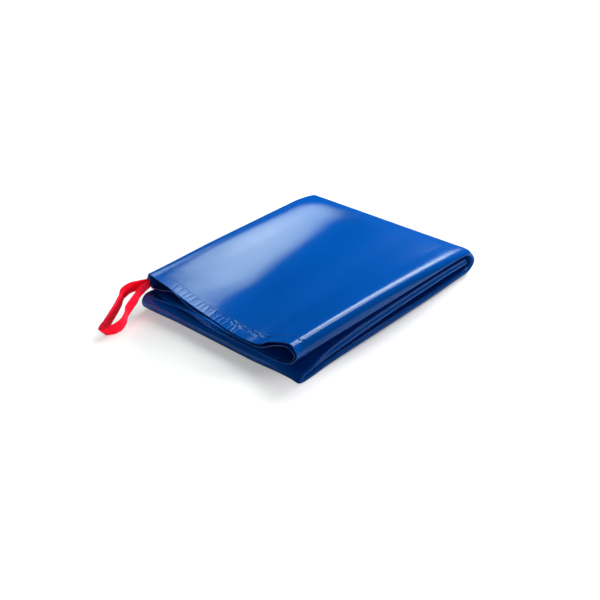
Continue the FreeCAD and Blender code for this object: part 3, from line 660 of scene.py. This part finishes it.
# the folded corner at the front is pinched flat, and the side fold rises behind it
x = lower[..., 0]
y = lower[..., 1]
pinch = ease((-0.160 - x) / 0.085) * ease((-0.130 - y) / 0.075)
tip = ease((-0.230 - x) / 0.014) * ease((-0.190 - y) / 0.022)
lower[..., 2] = lower[..., 2] * (1 - 0.48 * pinch) * (1 - 0.5 * tip)
u = run_length(lower, 0)[:, None]
v = run_length(lower, 1)[None, :]
normal = grid_normals(lower)
# soft waves, except where the cloth lies on the ground
swell = waves(8, u, v, 0.11, 4) * 0.0005
swell = swell * ease((lower[..., 2] - 0.004) / 0.006)
lower = lower + normal * swell[..., None]
UPPER_RUN = 0.57               # the cloth's pattern goes on from the upper part
lower_sheet = sheet_mesh("lower_sheet", lower, lower_end, u + UPPER_RUN, v)
lower_normal = grid_normals(lower)
lower_sheet.data.materials.append(blue_coating)
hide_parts(*[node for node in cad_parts
                           if node.startswith(("bottom_", "nose_", "middle_"))
                           and not node.endswith("seam")])
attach(lower_sheet, "lower")

# ------------------------------------------------------------- the seam stitches
# Bonded polyester thread, 0.9 mm, in lock stitches 4.2 mm apart. A row runs
# 25 mm inside each hemmed end, and shows on both faces of the cloth.
THREAD = 0.0009
STITCH_PITCH = 0.0042
STITCH_LENGTH = 0.0034
SEAM_INSET = 0.025


def thread_material(name, colour_and_painted_groove_shade, painted_crest_light):
    """Twisted thread, with painted shade between its strands and painted light on their
    crests.
    """
    material, nodes, links, output = new_material(name)
    shader = nodes.new("ShaderNodeBsdfPrincipled")
    shader.inputs["Roughness"].default_value = 0.55
    shader.inputs["Sheen Weight"].default_value = 0.2
    place = nodes.new("ShaderNodeTexCoord")
    twist = nodes.new("ShaderNodeTexWave")
    twist.inputs["Scale"].default_value = 900
    twist.inputs["Distortion"].default_value = 2
    links.new(place.outputs["Object"], twist.inputs["Vector"])
    # the tint follows the twist's heights: painted shade in the grooves, painted light on
    # the crests
    tint = nodes.new("ShaderNodeMix")
    tint.data_type = "RGBA"
    tint.inputs["A"].default_value = (*colour_and_painted_groove_shade, 1)
    tint.inputs["B"].default_value = (*painted_crest_light, 1)
    links.new(twist.outputs["Fac"], tint.inputs["Factor"])
    links.new(tint.outputs["Result"], shader.inputs["Base Color"])
    ridge = nodes.new("ShaderNodeBump")
    ridge.inputs["Distance"].default_value = 0.0001
    ridge.inputs["Strength"].default_value = 0.6
    links.new(twist.outputs["Fac"], ridge.inputs["Height"])
    links.new(ridge.outputs[0], shader.inputs["Normal"])
    links.new(shader.outputs[0], output.inputs["Surface"])
    return material


def one_stitch():
    """A rounded stitch of unit length along x, whose ends dive into the cloth."""
    rings = 7
    sides = 6
    points = []
    faces = []
    for ring in range(rings):
        along = ring / (rings - 1)
        swell = 0.35 + 0.65 * math.sin(math.pi * along) ** 0.5
        dive = -0.55 * (2 * along - 1) ** 4
        for side in range(sides):
            angle = 2 * math.pi * side / sides
            points.append((along - 0.5, 0.5 * swell * math.cos(angle),
                           0.5 * swell * math.sin(angle) + dive))
    for ring in range(rings - 1):
        for side in range(sides):
            after = (side + 1) % sides
            faces.append((ring * sides + side, ring * sides + after,
                          (ring + 1) * sides + after, (ring + 1) * sides + side))
    faces.append(tuple(range(sides))[::-1])
    faces.append(tuple((rings - 1) * sides + side for side in range(sides)))
    mesh = bpy.data.meshes.new("stitch")
    mesh.from_pydata(points, [], faces)
    mesh.polygons.foreach_set("use_smooth", [True] * len(faces))
    stitch = bpy.data.objects.new("stitch", mesh)
    return stitch


def stitch_tree(stitch, material):
    """Lays one stitch at every step along a seam line, square to the cloth."""
    tree = bpy.data.node_groups.new("stitch_row", "GeometryNodeTree")
    tree.interface.new_socket("Geometry", in_out="INPUT", socket_type="NodeSocketGeometry")
    names = {}
    for name, value in (("Pitch", STITCH_PITCH), ("Length", STITCH_LENGTH),
                        ("Thickness", THREAD)):
        socket = tree.interface.new_socket(name, in_out="INPUT",
                                           socket_type="NodeSocketFloat")
        socket.default_value = value
        names[name] = socket.identifier
    tree.interface.new_socket("Geometry", in_out="OUTPUT", socket_type="NodeSocketGeometry")
    nodes = tree.nodes
    links = tree.links
    start = nodes.new("NodeGroupInput")
    end = nodes.new("NodeGroupOutput")
    line = nodes.new("GeometryNodeMeshToCurve")
    links.new(start.outputs["Geometry"], line.inputs["Mesh"])
    spaced = nodes.new("GeometryNodeResampleCurve")
    spaced.mode = "LENGTH"
    links.new(line.outputs["Curve"], spaced.inputs["Curve"])
    links.new(start.outputs["Pitch"], spaced.inputs["Length"])
    tangent = nodes.new("GeometryNodeInputTangent")
    facing = nodes.new("GeometryNodeInputNamedAttribute")
    facing.data_type = "FLOAT_VECTOR"
    facing.inputs["Name"].default_value = "facing"
    first = nodes.new("FunctionNodeAlignRotationToVector")
    first.axis = "X"
    links.new(tangent.outputs[0], first.inputs["Vector"])
    second = nodes.new("FunctionNodeAlignRotationToVector")
    second.axis = "Z"
    second.pivot_axis = "X"
    links.new(first.outputs[0], second.inputs["Rotation"])
    links.new(facing.outputs["Attribute"], second.inputs["Vector"])
    shape = nodes.new("GeometryNodeObjectInfo")
    shape.inputs["Object"].default_value = stitch
    size = nodes.new("ShaderNodeCombineXYZ")
    links.new(start.outputs["Length"], size.inputs["X"])
    links.new(start.outputs["Thickness"], size.inputs["Y"])
    links.new(start.outputs["Thickness"], size.inputs["Z"])
    laid = nodes.new("GeometryNodeInstanceOnPoints")
    links.new(spaced.outputs["Curve"], laid.inputs["Points"])
    links.new(shape.outputs["Geometry"], laid.inputs["Instance"])
    links.new(second.outputs[0], laid.inputs["Rotation"])
    links.new(size.outputs[0], laid.inputs["Scale"])
    real = nodes.new("GeometryNodeRealizeInstances")
    links.new(laid.outputs["Instances"], real.inputs["Geometry"])
    finish = nodes.new("GeometryNodeSetMaterial")
    finish.inputs["Material"].default_value = material
    links.new(real.outputs["Geometry"], finish.inputs["Geometry"])
    links.new(finish.outputs["Geometry"], end.inputs["Geometry"])
    return tree, names


def stitch_rows(name, tree, names, runs, pitch, length, thickness, material):
    """Turns seam lines, each with its facing directions, into a mesh of stitches."""
    points = []
    edges = []
    facing = []
    for line, towards in runs:
        base = len(points)
        points += [tuple(point) for point in line]
        facing += [value for direction in towards for value in direction]
        edges += [(base + step, base + step + 1) for step in range(len(line) - 1)]
    mesh = bpy.data.meshes.new(name + "_line")
    mesh.from_pydata(points, edges, [])
    attribute = mesh.attributes.new("facing", "FLOAT_VECTOR", "POINT")
    attribute.data.foreach_set("vector", facing)
    guide = bpy.data.objects.new(name + "_line", mesh)
    bpy.context.scene.collection.objects.link(guide)
    modifier = guide.modifiers.new("stitches", "NODES")
    modifier.node_group = tree
    modifier[names["Pitch"]] = pitch
    modifier[names["Length"]] = length
    modifier[names["Thickness"]] = thickness
    bpy.context.view_layer.update()
    seen = guide.evaluated_get(bpy.context.evaluated_depsgraph_get())
    result = bpy.data.meshes.new_from_object(seen)
    guide.modifiers.remove(modifier)
    bpy.data.objects.remove(guide)
    result.name = name
    result.materials.clear()
    result.materials.append(material)
    piece = bpy.data.objects.new(name, result)
    bpy.context.scene.collection.objects.link(piece)
    return piece


def seam_line(points, normals, depth):
    """The line that a row of stitches follows on one side of the sheet."""
    place = points + normals * (depth + THREAD * 0.18)
    return place, normals


def at_reach(grid, reach, wanted):
    """One row or column of a grid at a given distance, between its neighbours."""
    index = int(np.searchsorted(reach, wanted)) - 1
    share = (wanted - reach[index]) / (reach[index + 1] - reach[index])
    return grid[index] * (1 - share) + grid[index + 1] * share


# first tint: the thread's colour with painted shade in its grooves; second: painted light
# on its crests
sewing_thread = thread_material("sewing_thread", (0.004, 0.035, 0.16), (0.012, 0.07, 0.27))
stitch = one_stitch()
tree, names = stitch_tree(stitch, sewing_thread)


def end_stitches(name, grid, normals):
    """The stitches along a hemmed end, on both faces; the hem is in the first rows."""
    reach = run_length(grid, 0)
    line = at_reach(grid, reach, SEAM_INSET)
    facing = at_reach(normals, reach, SEAM_INSET)
    runs = [seam_line(line, facing, PLY / 2),
            seam_line(line, -facing, PLY / 2 + HEM_PLIES)]
    return stitch_rows(name, tree, names, runs,
                       STITCH_PITCH, STITCH_LENGTH, THREAD, sewing_thread)


top_stitches = end_stitches("top_end_stitches", upper, upper_normal)
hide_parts("top_end_seam")
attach(top_stitches, "upper")

middle_stitches = end_stitches("middle_end_stitches", lower[::-1], lower_normal[::-1])
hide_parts("middle_end_seam")
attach(middle_stitches, "lower")

# ------------------------------------------------------------ the webbing loop
# Red polyester webbing, 24.5 mm wide over its soft edges, doubled into a loop
# to hang or pull the sheet by. It stands on edge, sags to the floor and opens
# into a long eye.
WEBBING_WIDTH = 0.0245
WEBBING_THICK = 0.0016
# x, y, z of the middle of the webbing in mm, and its lean in degrees
LOOP_ROUTE = [
    (-225.0, 218.5, 48.8, -22), (-244.0, 227.5, 49.0, -10), (-262.0, 235.5, 48.0, -4),
    (-278.5, 237.0, 43.2, 0), (-292.0, 231.0, 35.5, 0), (-308.0, 225.0, 27.5, 0),
    (-327.0, 219.0, 19.8, 2), (-347.0, 210.0, 13.4, 10), (-359.0, 203.5, 10.8, 24),
    (-363.0, 199.0, 9.8, 36), (-357.0, 193.5, 10.8, 26), (-345.0, 187.5, 12.8, 8),
    (-329.0, 184.5, 16.0, 2), (-313.5, 190.0, 20.5, 0), (-299.0, 201.5, 25.8, -2),
    (-284.0, 207.0, 30.6, 0), (-268.0, 211.5, 35.8, 2), (-254.0, 216.8, 40.8, 6),
    (-240.0, 217.6, 45.0, 14), (-225.0, 216.6, 48.6, 22)]


def webbing_strip(name, middle, wide, thick_way, width, thickness):
    """A flat woven strip along a line, with soft rounded selvedges."""
    steps = np.linalg.norm(np.diff(middle, axis=0), axis=1)
    reach = np.concatenate([[0], np.cumsum(steps)])
    across = np.linspace(-1, 1, 9)
    # the selvedges wander in and out by up to a quarter of a millimetre
    random = np.random.default_rng(5)
    stations = np.arange(0, reach[-1] + 0.012, 0.006)
    wander = np.interp(reach, stations, random.uniform(-1, 1, len(stations)))
    half = width / 2 + wander * 0.00025
    body = thickness / 2 * np.sqrt(np.clip(1.06 - across ** 6, 0.12, 1))
    row = middle[:, None] + wide[:, None] * (across * half[:, None])[..., None]
    bulge = thick_way[:, None] * body[None, :, None]
    return closed_strip(name, row + bulge, row - bulge, "webbing_uv",
                        reach[:, None], across * width / 2)


# Plain-woven webbing: fine ribs across it, shallow grooves along it, and painted light on
# the raised thread at each crossing, with painted shade in the grooves between; the rest of
# its tint wanders at random with the fuzz.
def webbing_material(name, deep, painted_crest_light):
    """Dyed webbing between two tints, a little translucent, with raised ribs that carry
    painted light on their tops.
    """
    material, nodes, links, output = new_material(name)
    shader = nodes.new("ShaderNodeBsdfPrincipled")
    shader.inputs["Roughness"].default_value = 0.62
    shader.inputs["Specular IOR Level"].default_value = 0.12
    shader.inputs["Sheen Weight"].default_value = 0.05
    shader.inputs["Sheen Roughness"].default_value = 0.4
    shader.inputs["Subsurface Weight"].default_value = 1.0
    shader.inputs["Subsurface Radius"].default_value = (1, 0.05, 0.1)
    shader.inputs["Subsurface Scale"].default_value = 0.012
    where, weave = woven(nodes, links, "webbing_uv", (0.0013, 0.0020))
    raised = nodes.new("ShaderNodeMapRange")
    raised.inputs["From Min"].default_value = -1
    raised.inputs["From Max"].default_value = 1
    links.new(weave.outputs[0], raised.inputs["Value"])
    fuzz = nodes.new("ShaderNodeTexNoise")
    fuzz.inputs["Scale"].default_value = 900
    fuzz.inputs["Detail"].default_value = 3
    links.new(where.outputs["UV"], fuzz.inputs["Vector"])
    # the tint mixes random fuzz with the rib heights, which paint light on the raised
    # threads and shade in the grooves
    fuzz_and_painted_rib_light = nodes.new("ShaderNodeMath")
    fuzz_and_painted_rib_light.operation = "MULTIPLY_ADD"
    fuzz_and_painted_rib_light.inputs[1].default_value = 0.6
    links.new(fuzz.outputs["Fac"], fuzz_and_painted_rib_light.inputs[0])
    half = nodes.new("ShaderNodeMath")
    half.operation = "MULTIPLY"
    half.inputs[1].default_value = 0.5
    links.new(raised.outputs[0], half.inputs[0])
    links.new(half.outputs[0], fuzz_and_painted_rib_light.inputs[2])
    tint = nodes.new("ShaderNodeMix")
    tint.data_type = "RGBA"
    tint.inputs["A"].default_value = (*deep, 1)
    tint.inputs["B"].default_value = (*painted_crest_light, 1)
    links.new(fuzz_and_painted_rib_light.outputs[0], tint.inputs["Factor"])
    links.new(tint.outputs["Result"], shader.inputs["Base Color"])
    bump = nodes.new("ShaderNodeBump")
    bump.inputs["Distance"].default_value = 0.00035
    bump.inputs["Strength"].default_value = 0.8
    links.new(raised.outputs[0], bump.inputs["Height"])
    links.new(bump.outputs[0], shader.inputs["Normal"])
    links.new(shader.outputs[0], output.inputs["Surface"])
    return material


# first tint: the dye in the grooves, with painted shade; second: raised crossings with
# painted light, mixed with random fuzz
red_webbing = webbing_material("red_webbing", (0.84, 0.0015, 0.014), (1.0, 0.006, 0.035))
route = np.array(LOOP_ROUTE)
ALONG = [9] * (len(route) - 1)
middle = curve_through(route[:, :3], ALONG) / 1000
lean = np.radians(curve_through(route[:, 3], ALONG))
tangent = np.gradient(middle, axis=0)
tangent /= np.linalg.norm(tangent, axis=1, keepdims=True)
outward = np.cross(tangent, (0, 0, 1))
outward /= np.linalg.norm(outward, axis=1, keepdims=True)
upright = np.cross(outward, tangent)
wide = upright * np.cos(lean) + outward * np.sin(lean)
loop_strip = webbing_strip("loop_strip", middle, wide, np.cross(tangent, wide),
                           WEBBING_WIDTH, WEBBING_THICK)
loop_strip.data.materials.append(red_webbing)
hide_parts("webbing_loop")
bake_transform(loop_strip)

# ----------------------------------------------------- the sewn end of the loop
# Both ends of the webbing lie on each other on the outside of the hem, held
# by a box of red stitches with a cross in it.
TAIL_MIDDLE = 0.017            # from the cloth's free edge, along the hanging part
TAIL_REACH = 0.044             # how far in from the hemmed end the tail is sewn
upper_reach = run_length(upper, 0)


def on_hem(reach, across, lift):
    """A point on the outside of the sheet's hanging edge, lifted off it."""
    near_row = at_reach(upper, upper_reach, reach)
    near_normal = at_reach(upper_normal, upper_reach, reach)
    steps = np.linalg.norm(np.diff(near_row, axis=0), axis=1)
    along = np.concatenate([[0], np.cumsum(steps)])
    point = at_reach(near_row, along, across)
    direction = at_reach(near_normal, along, across)
    return point + direction * (PLY / 2 + lift), direction


INSIDE_HEM = 0.0003            # on_hem needs a place that lies on the cloth
for layer, name in ((0, "loop_tail_under"), (1, "loop_tail_over")):
    lift = WEBBING_THICK * (0.55 + layer * 1.02)
    tail_reach = np.linspace(-0.0005, TAIL_REACH - layer * 0.002, 16)
    spots = [on_hem(max(reach, INSIDE_HEM), TAIL_MIDDLE, lift) for reach in tail_reach]
    edge = [on_hem(max(reach, INSIDE_HEM), TAIL_MIDDLE + 0.004, lift)[0]
            for reach in tail_reach]
    middle = np.array([spot[0] for spot in spots])
    wide = np.array(edge) - middle
    wide /= np.linalg.norm(wide, axis=1, keepdims=True)
    tangent = np.gradient(middle, axis=0)
    tangent /= np.linalg.norm(tangent, axis=1, keepdims=True)
    tail = webbing_strip(name, middle, wide, np.cross(tangent, wide),
                         WEBBING_WIDTH, WEBBING_THICK)
    tail.data.materials.append(red_webbing)
    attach(tail, "upper")
    if layer:
        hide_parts("loop_tail")

BOX_PITCH = 0.0030
BOX_STITCH_LENGTH = 0.0025
BOX_THREAD = 0.0008
BOX_STEPS = 12
box_lift = WEBBING_THICK * 2.1
# the box's corners on the tail, and the order in which the needle visits them
corners = [(0.006, -0.0075), (0.040, -0.0075), (0.040, 0.0075), (0.006, 0.0075)]
order = [0, 1, 2, 3, 0, 2, 3, 1]
box_line = []
box_facing = []
for here, there in zip(order[:-1], order[1:]):
    for step in range(BOX_STEPS):
        share = step / BOX_STEPS
        reach = corners[here][0] * (1 - share) + corners[there][0] * share
        across = corners[here][1] * (1 - share) + corners[there][1] * share
        point, direction = on_hem(reach, TAIL_MIDDLE + across, box_lift)
        box_line.append(point)
        box_facing.append(direction)
# first tint: the thread's colour with painted shade in its grooves; second: painted light
# on its crests
red_thread = thread_material("red_thread", (0.45, 0.004, 0.016), (0.80, 0.02, 0.05))
box_tree, box_names = stitch_tree(stitch, red_thread)
box_stitches = stitch_rows(
    "loop_box_stitches", box_tree, box_names, [(box_line, box_facing)],
    BOX_PITCH, BOX_STITCH_LENGTH, BOX_THREAD, red_thread)
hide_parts("loop_box_stitch")
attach(box_stitches, "upper")
